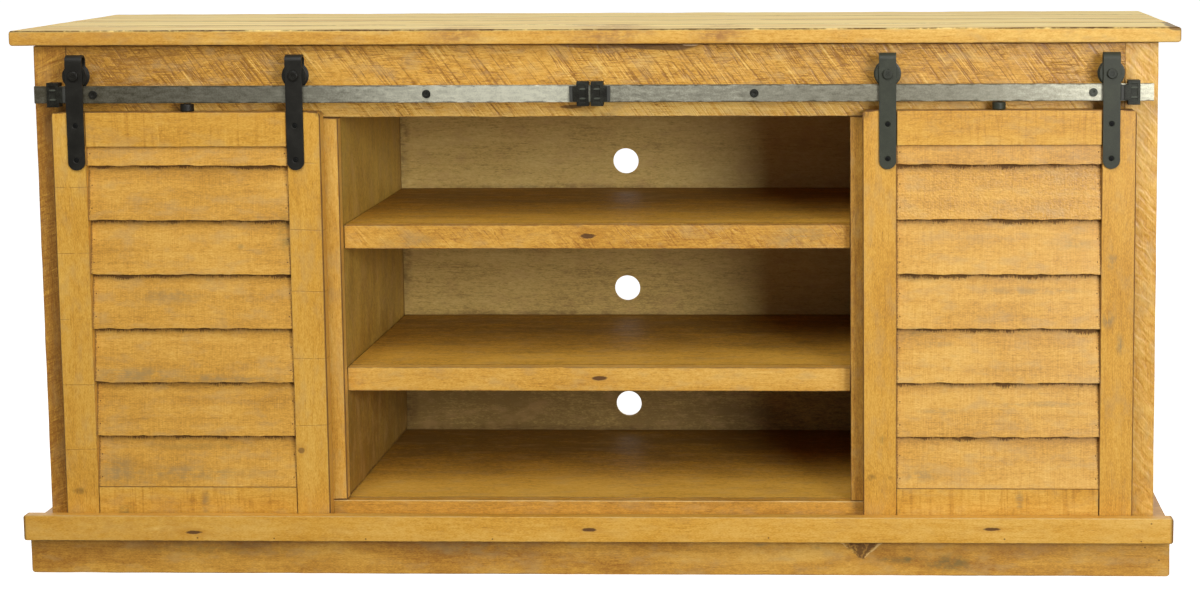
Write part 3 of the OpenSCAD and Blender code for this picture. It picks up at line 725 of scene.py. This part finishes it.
# the doors' upper faces turn darker
doorLook = dict(
    honey=(0.655, 0.33, 0.039), pale=(0.83, 0.525, 0.115), uneven=0.35, fibre=0.34, mottle=0.46,
    edge=0.0011, bare=(0.21, 0.105, 0.035), wash=0.8, washReach=(0.0012, 0.0002),
)
doorSides = dict(
    left=dict(sign=-1, seed=30, level=0.55, edgeDepth=0.4),
    right=dict(sign=1, seed=40, level=0.48, edgeDepth=0.75),
)
for side, plan in doorSides.items():
    sign, seed, door, body = plan["sign"], plan["seed"], side.capitalize(), f"door_{side}"
    shape = dict(body=body, slot="pine_door")
    for number, (part, end) in enumerate((("outer", sign), ("inner", -sign))):
        boards[f"doorStile{part.capitalize()}{door}"] = (
            f"{body}_stile_{part}",
            dict(shape, rows=(3, 2, 0), corners=(0.007, end), ease=(0.002, end), round=0.0007),
            dict(seed=seed + number, grain=2, level=plan["level"], figure=0.25, rim=end,
                 edgeDepth=plan["edgeDepth"], **doorLook, **doorMarks[side][part]))
    shape = dict(shape, rows=(0, 2, 3), rail=True)
    boards["doorRailTop" + door] = (
        body + "_top_rail", dict(shape, round=0.0012),
        dict(seed=seed + 2, saw=(0, 0.0045, 0.09, 0.1, 0.1, 0.5), **doorLook))
    boards["doorRailBottom" + door] = (
        body + "_bottom_rail", dict(shape, round=0.0007),
        dict(seed=seed + 3, level=0.54, endDepth=0.1, edgeDepth=0.45,
             saw=(0, 0.005, 0.09, 0.08, 0.14, 0.5), **doorLook, **doorMarks[side]["bottom"]))


def addBoard(name, seed, node, plan, look):
    look = {"seed": seed, "grain": 0, **look}
    low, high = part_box(node)
    hidden = boardPlan["tongue"] if plan.get("rail") else -plan.get("grow", 0)
    low.x += hidden
    high.x -= hidden
    board = addBlock(name, low, high)
    grain, cuts = look["grain"], list(plan["rows"])
    cuts[grain] = int((high[grain] - low[grain]) / boardPlan["cut"])
    for axis in range(3):
        cutAcross(board, axis, cuts[axis])
    if "corners" in plan:
        radius, end = plan["corners"]
        ends = (end,) if end else (-1, 1)
        heights = (low.z, high.z) if end or plan.get("topCorners") else (low.z,)
        spots = [(low.x if e < 0 else high.x, z) for e in ends for z in heights]
        roundEdges(board, lambda a, b: runsAlong(a, b, 1) and any(
            abs(a.x - x) < near and abs(a.z - z) < near for x, z in spots), radius, 4)
    if "ease" in plan:
        width, end = plan["ease"]
        outerX = low.x if end < 0 else high.x
        roundEdges(board, lambda a, b: runsAlong(a, b, 2) and abs(a.x - outerX) < near and (
            a.y < low.y + near or a.y > high.y - near), width, 3)
    roundSharp(board, plan.get("round", boardPlan["round"]))
    handWork(board, *plan.get("work", boardPlan["work"]))
    material = pine(name + "Pine", look, (low, high))
    finishPiece(board, [node], plan.get("body", "cabinet"), material)


for number, (name, plan) in enumerate(boards.items(), 1):
    addBoard(name, number, *plan)
print("boards made:", len(boards))


# ---- louvres
slatPlan = dict(
    count=7,
    first=0.5876,  # height of the topmost slat's lower edge
    pitch=0.07772,
    thick=0.009, width=0.09257,
    reach=0.14885,  # half of a slat's length, housed ends included
    front=-0.2245, tilt=math.radians(7.77), doorMiddle=0.5715,
    limits=(0.1265, 0.6156),  # heights at which the rails hide the slats
    opening=0.143,  # half the width between the stiles
    nails=dict(inset=0.0045, rises=(0.0187, 0.051), size=0.0011),
    cuts=(72, 8),  # along and across a slat
    round=0.0009,
    lowEdge=0.02,  # width of the strip along the lower edge that is ragged
    work=((0.003, 0.02, "Z", 0.0, "lowEdge"), (0.0013, 0.006, "Z", 0.5, "lowEdge"), (0.0006, 0.03)),
)

slatLook = dict(fibre=0.3, mottle=0.42, deep=(0.37, 0.17, 0.023), edgeDepth=0)
slatLooks = dict(
    left=dict(
        slatLook, seed=50, level=0.49, blotch=0.5, drift=((2, 0.1, 0.55, -0.06),),
        smudges=(
            (-0.434, 0.49, 0.012, 0.03, 0.7, "olive"), (-0.501, 0.473, 0.006, 0.005, 0.5, "olive"),
            (-0.6, 0.402, 0.06, 0.012, 0.55, "grey"), (-0.655, 0.29, 0.065, 0.012, 0.7, "grey"),
            (-0.52, 0.283, 0.09, 0.007, 0.7, "grey"), (-0.69, 0.15, 0.03, 0.026, 0.65, "grey"),
            (-0.573, 0.145, 0.11, 0.012, 0.6, "grey"), (-0.56, 0.183, 0.12, 0.006, 0.4, "olive"))),
    right=dict(
        # painted shade: darker towards the top slats
        slatLook, seed=60, level=0.51, blotch=0.45, peel=1, drift=((2, 0.62, 0.45, -0.12),),
        smudges=(
            (0.679, 0.476, 0.03, 0.01, 0.5, "grey"), (0.454, 0.428, 0.03, 0.008, 0.5, "olive"),
            (0.616, 0.409, 0.09, 0.006, 0.5, "grey"), (0.454, 0.352, 0.025, 0.008, 0.5, "olive"),
            (0.487, 0.333, 0.03, 0.006, 0.5, "grey"), (0.637, 0.247, 0.07, 0.005, 0.5, "grey"),
            (0.489, 0.237, 0.04, 0.005, 0.5, "grey"), (0.461, 0.145, 0.03, 0.012, 0.6, "grey"))),
)


def addSlat(sign, index):
    middle, reach, strip = sign * slatPlan["doorMiddle"], slatPlan["reach"], slatPlan["lowEdge"]
    slat = addBlock("slat", (middle - reach, 0, 0), (middle + reach, slatPlan["thick"], slatPlan["width"]))
    for axis, cuts in zip((0, 2), slatPlan["cuts"]):
        cutAcross(slat, axis, cuts)
    group = slat.vertex_groups.new(name="lowEdge")
    for point in slat.data.vertices:
        if point.co.z < strip:
            group.add([point.index], 1 - point.co.z / strip, "REPLACE")
    roundSharp(slat, slatPlan["round"])
    slat.rotation_euler.x = -slatPlan["tilt"]
    slat.location = (0, slatPlan["front"], slatPlan["first"] - index * slatPlan["pitch"])
    settle(slat)
    for work in slatPlan["work"]:
        handWork(slat, *work)
    for height, side in zip(slatPlan["limits"], (-1, 1)):
        activate(slat)
        setMode("EDIT")
        bpy.ops.mesh.select_all(action="SELECT")
        bpy.ops.mesh.bisect(plane_co=(0, 0, height), plane_no=(0, 0, side), use_fill=True, clear_outer=True)
        setMode("OBJECT")
    number = slat.data.attributes.new("slatNumber", "FLOAT", "POINT")
    for value in number.data:
        value.value = index
    return slat


for side, plan in doorSides.items():
    slats = [addSlat(plan["sign"], index) for index in range(slatPlan["count"])]
    material = pine("slatPine" + side.capitalize(), dict(slatLooks[side], slats=plan["sign"]), None)
    finishPiece(joinPieces(slats, "louvres" + side.capitalize()), [f"door_{side}_louvres"], f"door_{side}",
                material)
print("louvres made")


# ---- metal and rubber
metalLook = dict(
    sheen=(),  # each: place along X, reach, gain of a painted reflection, brighter with a positive gain and darker with a negative one
    ribs=(),  # places of ribs with a painted highlight
    scale=None,  # the bar with mill scale along its edges, and the scale's width
    metallic=0.0,
    specular=0.5,
)


def metal(name, look):
    look = SimpleNamespace(**{**metalLook, **look})
    material, start = startMaterial(name)
    coords = start.node("TexCoord", output="Object")
    grit = noise(coords, (look.grit,) * 3, detail=2, rough=0.6)
    cloud = noise(coords, look.cloud, detail=3, rough=0.6)
    mix = cloud.swing(look.uneven) + grit.swing(look.speck) + 0.5
    for place, reach, gain in look.sheen:
        # painted reflection: brighter and darker stretches along the part, where the lights reflect in it
        mix = mix + (coords.part(0) - place).size().fade(reach, 0.0) * gain
    if look.ribs:
        # painted highlights along the stops' ribs
        mix = mix + nearest(coords, look.ribs, (0.0048, 0.0016)).fade(1.1, 0.7) * 0.4
    if look.scale:
        node, width = look.scale
        low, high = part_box(node)
        up = coords.part(2) - (low.z + high.z) / 2
        rim = (high.z - low.z) / 2 - up.size() + cloud.swing(width * 4)
        mix = mix - rim.fade(width, width * 0.3) * 0.35
    colour = mix.node("ValToRGB", {"stops": [(0.1, look.dark), (0.5, look.colour), (0.95, look.light)]},
                      {"Fac": mix})
    roughness = look.roughness + grit.swing(0.2) + cloud.swing(0.25)
    return closeMaterial(material, start, colour, roughness, grit + cloud * 0.3,
                         {"bump": look.bump, "Metallic": look.metallic, "Specular IOR Level": look.specular})


ironLook = dict(
    colour=(0.0105, 0.0092, 0.0058), dark=(0.005, 0.0045, 0.0035), light=(0.034, 0.032, 0.024),
    grit=0.0008, cloud=(0.02, 0.02, 0.02), uneven=0.6, speck=0.7, roughness=0.48, specular=0.34,
    bump=(0.5, 0.0002),
)
# the right door's black iron, painted lighter as it catches more of the light from the right: a lit copy of ironLook
paintedLitIron = dict(
    ironLook, colour=(0.036, 0.039, 0.024), dark=(0.02, 0.022, 0.014), light=(0.075, 0.08, 0.052),
)
screwLook = dict(
    ironLook, colour=(0.004, 0.004, 0.003), dark=(0.002, 0.002, 0.002), light=(0.01, 0.01, 0.008),
    roughness=0.65, specular=0.2,
)
# painted light: the track bolts lighter towards the right end
trackBoltLook = dict(
    ironLook, light=(0.06, 0.064, 0.044), grit=0.0012, roughness=0.4, sheen=((0.8, 0.9, 0.45),),
)
wheelLook = dict(grit=0.0015, cloud=(0.012, 0.012, 0.012))
steelLook = dict(
    colour=(0.35, 0.335, 0.255), dark=(0.125, 0.11, 0.07), light=(0.88, 0.86, 0.67),
    grit=0.0018, cloud=(0.016, 0.006, 0.005), uneven=0.45, speck=0.35, roughness=0.42,
    metallic=0.75, bump=(0.22, 0.0002), scale=("track_left", 0.0018),
)
rubberLook = dict(
    colour=(0.04, 0.04, 0.032), dark=(0.02, 0.02, 0.016), light=(0.075, 0.075, 0.062),
    grit=0.0006, cloud=(0.01, 0.01, 0.01), uneven=0.5, speck=0.4, roughness=0.62,
    bump=(0.4, 0.0002),
)
ribPlan = dict(end=0.0085, middle=0.01, rise=0.0067)  # from the stops' ends, the middle and the mid height
low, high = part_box("track_stops")
stopLook = dict(
    # painted light: the stop at the right end lighter, and painted highlights on the ribs
    ironLook, light=(0.075, 0.08, 0.06), specular=0.2, sheen=((0.8, 0.5, 0.12),),
    ribs=[(x, (low.z + high.z) / 2 + rise)
             for x in (low.x + ribPlan["end"], -ribPlan["middle"], ribPlan["middle"], high.x - ribPlan["end"])
             for rise in (-ribPlan["rise"], ribPlan["rise"])],
)
finishes = dict(
    blackIronLeft=ironLook,
    blackIronRight=paintedLitIron,
    blackStop=stopLook,
    blackScrew=screwLook,
    blackBoltLeft=dict(ironLook, grit=0.0012, roughness=0.4),
    blackBoltRight=dict(paintedLitIron, colour=(0.026, 0.028, 0.018), grit=0.0012),
    trackBolt=trackBoltLook,
    wheelBlackLeft=dict(ironLook, **wheelLook, roughness=0.42),
    wheelBlackRight=dict(paintedLitIron, **wheelLook, roughness=0.46),
    # painted reflection: dull at the left end, bright near the middle
    milledSteelLeft=dict(steelLook, sheen=((-0.8, 0.6, -0.36), (-0.12, 0.36, 0.42))),
    # painted reflection along the right track, brightest at its right end
    milledSteelRight=dict(steelLook, sheen=((0.0, 0.3, 0.04), (0.45, 0.3, -0.18), (0.8, 0.36, 0.15))),
    greyRubber=rubberLook,
)
finishes = {name: metal(name, look) for name, look in finishes.items()}


# ---- hardware
strapPlan = dict(
    width=0.024, thick=0.003, front=-0.2285, end=0.5832,
    bend=0.7368,  # height of the bend's centre
    bendDepth=-0.2195, axle=0.7162, places=(0.416, 0.727),
    tip=0.995,  # roundness of the two ends
    round=0.0004,
    sink=dict(wide=0.0048, narrow=0.0014, depth=0.0046, middle=0.0016),  # a screw's countersink
)
screwPlan = dict(
    heights=(0.5976, 0.6462),
    head=0.0038, depth=0.0022, sunk=0.0011,
    recess=((0.0009, 0.0003, 0.8), (0.001, -0.0011, 0.7)),  # each: inset, pull, scale
)


def addStrap():
    plan, sink = strapPlan, strapPlan["sink"]
    half, front = plan["width"] / 2, plan["front"]
    strap = addBlock("strap", (-half, front, plan["end"]), (half, front + plan["thick"], plan["bend"]))
    roundEdges(strap, lambda a, b: runsAlong(a, b, 1) and a.z < plan["end"] + 0.001, half * plan["tip"], 12)
    pickFaces(strap, "up")
    bpy.ops.mesh.spin(steps=16, angle=math.pi, center=(0, plan["bendDepth"], plan["bend"]), axis=(1, 0, 0))
    bpy.ops.mesh.extrude_region_move(
        TRANSFORM_OT_translate={"value": (0, 0, plan["axle"] - half - plan["bend"])})
    setMode("OBJECT")
    roundEdges(strap, lambda a, b: runsAlong(a, b, 1) and a.y > plan["bendDepth"]
               and a.z < plan["axle"] - half + 0.001, half * plan["tip"], 12)
    sinks = []
    for height in screwPlan["heights"]:
        clearSelection()
        bpy.ops.mesh.primitive_cone_add(vertices=32, radius1=sink["wide"], radius2=sink["narrow"], depth=sink["depth"],
                                        location=(0, front + sink["middle"], height), rotation=(-math.pi / 2, 0, 0))
        sinks.append(bpy.context.object)
        settle(sinks[-1])
    cutter = joinPieces(sinks, "screwSinks")
    applyModifier(strap, "BOOLEAN", {"operation": "DIFFERENCE", "object": cutter, "solver": "EXACT"})
    removePiece(cutter)
    roundSharp(strap, plan["round"], 2, 50)
    return strap


def addScrew(place):
    # a sunk head with a recess
    front = strapPlan["front"] + screwPlan["sunk"]
    screw = addBar("screw", screwPlan["head"], (front, front + screwPlan["depth"]), place, 32)
    pullFaces(screw, "front", (place[0], front, place[1]), *screwPlan["recess"])
    return screw


axlePlan = dict(
    head=0.007, height=0.0034, hollow=((0.0012, 0, 1), (0.003, -0.0012, 0.92)), headRound=0.0011,
    shaft=0.004, shaftRound=0.0004, tail=0.0014,
    nut=0.0072, nutFront=-0.2105, nutHeight=0.0055, nutRim=0.0008, nutRound=0.0005,
)


def addAxle():
    plan, place, front = axlePlan, (0, strapPlan["axle"]), strapPlan["front"]
    face, nutBack = front - plan["height"], plan["nutFront"] + plan["nutHeight"]
    head = addBar("axleHead", plan["head"], (face, front), place)
    pullFaces(head, "front", (0, front, place[1]), *plan["hollow"])
    roundEdges(head, lambda a, b: liesAt(a, b, 1, face)
               and Vector((a.x, a.z - place[1])).length > plan["head"] * 0.99, plan["headRound"], 3)
    shaft = addBar("axleShaft", plan["shaft"], (front, nutBack + plan["tail"]), place, 24)
    roundSharp(shaft, plan["shaftRound"])
    nut = addBar("axleNut", plan["nut"], (plan["nutFront"], nutBack), place, 6)
    pullFaces(nut, "back", place, (plan["nutRim"], 0, 1))
    roundSharp(nut, plan["nutRound"])
    return joinPieces([head, shaft, nut], "axle")


wheelPlan = dict(
    flange=0.0172, tread=0.014, front=-0.225, rim=0.0018, flare=0.0008, groove=0.0058,
    dish=(0.0055, -0.0007, 0.94), round=0.00035,
)


def addWheel():
    plan, place = wheelPlan, (0, strapPlan["axle"])
    centre = (0, strapPlan["bendDepth"], strapPlan["axle"])
    mouth = plan["tread"] / plan["flange"]
    wheel = addBar("wheel", plan["flange"], (plan["front"], plan["front"] + plan["rim"]), place, 72)
    pullFaces(wheel, "back", centre, (0, plan["flare"], mouth), (0, plan["groove"], 1), (0, plan["flare"], 1 / mouth),
              (0, plan["rim"], 1), plan["dish"])
    pullFaces(wheel, "front", centre, plan["dish"])
    roundSharp(wheel, plan["round"], 2, 25)
    return wheel


discPlan = dict(
    radius=0.0095, depth=-0.21375, dish=(0.004, -0.0009, 0.9), lowRound=0.0016, topRound=0.0012,
    screw=0.0038, screwEnds=(-0.0024, -0.0002), recess=(0.0018, -0.001, 0.8),  # its ends from the disc's top
)


def addDisc(place, low, high):
    # the block on a door's top edge that keeps the wheels on the track
    disc = addBar("disc", discPlan["radius"], (low, high), place, 56, 2)
    pullFaces(disc, "up", (*place, high), discPlan["dish"])
    roundEdges(disc, lambda a, b: liesAt(a, b, 2, low), discPlan["lowRound"], 3)
    roundEdges(disc, lambda a, b: liesAt(a, b, 2, high)
               and Vector((a.x - place[0], a.y - place[1])).length > 0.009, discPlan["topRound"], 3)
    return disc


def addDiscScrew(place, top):
    screw = addBar("screw", discPlan["screw"], [top + end for end in discPlan["screwEnds"]], place, 32, 2)
    pullFaces(screw, "up", (*place, top), discPlan["recess"])
    return screw


def copyAt(piece, x):
    # a copy with its own mesh, moved along X
    activate(piece)
    bpy.ops.object.duplicate(linked=False)
    copy = bpy.context.object
    copy.location.x += x
    settle(copy)
    return copy


def removePiece(piece):
    activate(piece)
    bpy.ops.object.delete()


strap, axle, wheel = addStrap(), addAxle(), addWheel()
for side, plan in doorSides.items():
    door, body = side.capitalize(), f"door_{side}"
    iron, places = finishes["blackIron" + door], [plan["sign"] * x for x in strapPlan["places"]]
    hangers = joinPieces([copyAt(strap, x) for x in places], "hangers" + door)
    finishPiece(hangers, [body + "_hangers"], body, iron)
    axles = joinPieces([copyAt(axle, x) for x in places], "axles" + door)
    finishPiece(axles, [body + "_axles"], body, finishes["blackBolt" + door])
    middle = (plan["sign"] * slatPlan["doorMiddle"], discPlan["depth"])
    low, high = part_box(body + "_disc")
    screws = [addScrew((x, z)) for x in places for z in screwPlan["heights"]] + [addDiscScrew(middle, high.z)]
    finishPiece(joinPieces(screws, "screws" + door), [body + "_screws"], body, finishes["blackScrew"])
    disc = addDisc(middle, low.z, high.z)
    rename(disc, "disc" + door)
    finishPiece(disc, [body + "_disc"], body, iron)
    for where, x in zip(("inner", "outer"), places):
        node = f"wheel_{side}_{where}"
        roller = copyAt(wheel, x)
        rename(roller, "roller" + door + where.capitalize())
        finishPiece(roller, [node], node, finishes["wheelBlack" + door])
for spare in (strap, axle, wheel):
    removePiece(spare)
print("door hardware made")


trackPlan = dict(gap=0.00005, cuts=30, round=0.0006)  # the gap is half the joint at the middle
for side in doorSides:
    low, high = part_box(f"track_{side}")
    low.x, high.x = (low.x, -trackPlan["gap"]) if side == "left" else (trackPlan["gap"], high.x)
    bar = addBlock("track" + side.capitalize(), low, high)
    cutAcross(bar, 0, trackPlan["cuts"])
    roundSharp(bar, trackPlan["round"])
    finishPiece(bar, [f"track_{side}"], "cabinet", finishes["milledSteel" + side.capitalize()])


def copyPart(node, name, width):
    # the CAD part's own shape with its arrises broken
    clearSelection()
    copy = addObject(name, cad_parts[node].data.copy())
    activate(copy)
    setMode("EDIT")
    bpy.ops.mesh.select_all(action="SELECT")
    bpy.ops.mesh.remove_doubles(threshold=near)
    bpy.ops.mesh.dissolve_limited(angle_limit=math.radians(1))
    setMode("OBJECT")
    roundSharp(copy, width, 2, 50)
    return copy


copies = dict(  # each: name, width of its broken arrises, slot, finish
    track_stops=("stops", 0.0005, "black_iron", "blackStop"),
    stop_pads=("stopPads", 0.0007, "rubber_pad", "greyRubber"),
    track_bolts=("trackBolts", 0.0005, "black_bolt", "trackBolt"),
)
for node, (name, width, slot, finish) in copies.items():
    finishPiece(copyPart(node, name, width), [node], "cabinet", finishes[finish])
print("track made")


# ---- parts kept from the frame, with finishes of their own
def repaint(node, material):
    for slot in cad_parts[node].material_slots:
        slot.material = material


backLook = dict(
    seed=70, inside=(0.248, 0.245), level=0.52, figure=0.35, blotch=0.45, roughness=0.55,
    deep=(0.3, 0.19, 0.05), honey=(0.62, 0.435, 0.125), pale=(0.75, 0.58, 0.22), coat=0.0,
    # painted shade darker towards the bottom, and painted light towards the right where the right partition's shade
    # falls; on the inner face only
    drift=((2, 0.08, 0.42, -0.42), (0, 0.36, 0.0, 0.14)),
    # darker along the corner with the left partition and along the shelves and the floor
    smudges=(
        (-0.362, 0.575, 0.012, 0.09, 0.6), (-0.362, 0.375, 0.012, 0.09, 0.6), (-0.362, 0.17, 0.014, 0.08, 0.8),
        (-0.12, 0.496, 0.3, 0.008, 0.55), (-0.12, 0.289, 0.3, 0.008, 0.55), (-0.12, 0.099, 0.3, 0.009, 0.6)),
)
repaint("back_panel", pine("backPine", backLook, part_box("back_panel")))
for number, node in enumerate(("side_shelf_left", "side_shelf_right", "top_cleats")):
    repaint(node, pine(node + "Pine", dict(seed=80 + number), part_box(node)))
for node in ("shelf_pins", "track_spacers"):
    repaint(node, finishes["milledSteelLeft"])
print("kept parts finished")


# ---- stage
stagePlan = dict(
    floor=dict(size=120, colour=(0.9, 0.9, 0.9, 1), roughness=0.9, glow=0.7),
    sky=dict(ahead=(0.1, 0.8), gain=0.95, behind=0.17),  # brighter towards the back of the room
    aim=(0, 0, 0.4),
)
lights = dict(
    keySoft=dict(place=(2.15, -3.7, 1.28), size=1.4, watts=106),
    overhead=dict(place=(-0.4, -2.7, 3.1), size=2.4, watts=84),
)


def addFloor(plan):
    clearSelection()
    bpy.ops.mesh.primitive_plane_add(size=plan["size"], location=(0, 0, 0))
    floor = bpy.context.object
    floor.name = "studioFloor"
    material, start = startMaterial("studioWhite")
    floor.data.materials.append(closeMaterial(
        material, start, plan["colour"], plan["roughness"], None,
        {"Emission Color": (1, 1, 1, 1), "Emission Strength": plan["glow"]}))
    floor.visible_diffuse = floor.visible_glossy = False


def addLight(name, plan):
    data = bpy.data.lights.new(name, "AREA")
    data.shape = "SQUARE"
    data.size = plan["size"]
    data.energy = plan["watts"]
    light = addObject(name, data)
    light.location = plan["place"]
    light.rotation_euler = (Vector(stagePlan["aim"]) - light.location).to_track_quat("-Z", "Y").to_euler()


def addSky(plan):
    world = bpy.data.worlds.new("studio")
    bpy.context.scene.world = world
    world.use_nodes = True
    ahead = Wire(world.node_tree).node("TexCoord", output="Generated").part(1)
    back = world.node_tree.nodes["Background"]
    back.inputs["Color"].default_value = (1, 1, 1, 1)
    strength = ahead.fade(*plan["ahead"]) * plan["gain"] + plan["behind"]
    world.node_tree.links.new(strength.socket, back.inputs["Strength"])


addFloor(stagePlan["floor"])
for name, plan in lights.items():
    addLight(name, plan)
addSky(stagePlan["sky"])
bpy.context.scene.view_settings.view_transform = "Standard"
print("stage set")
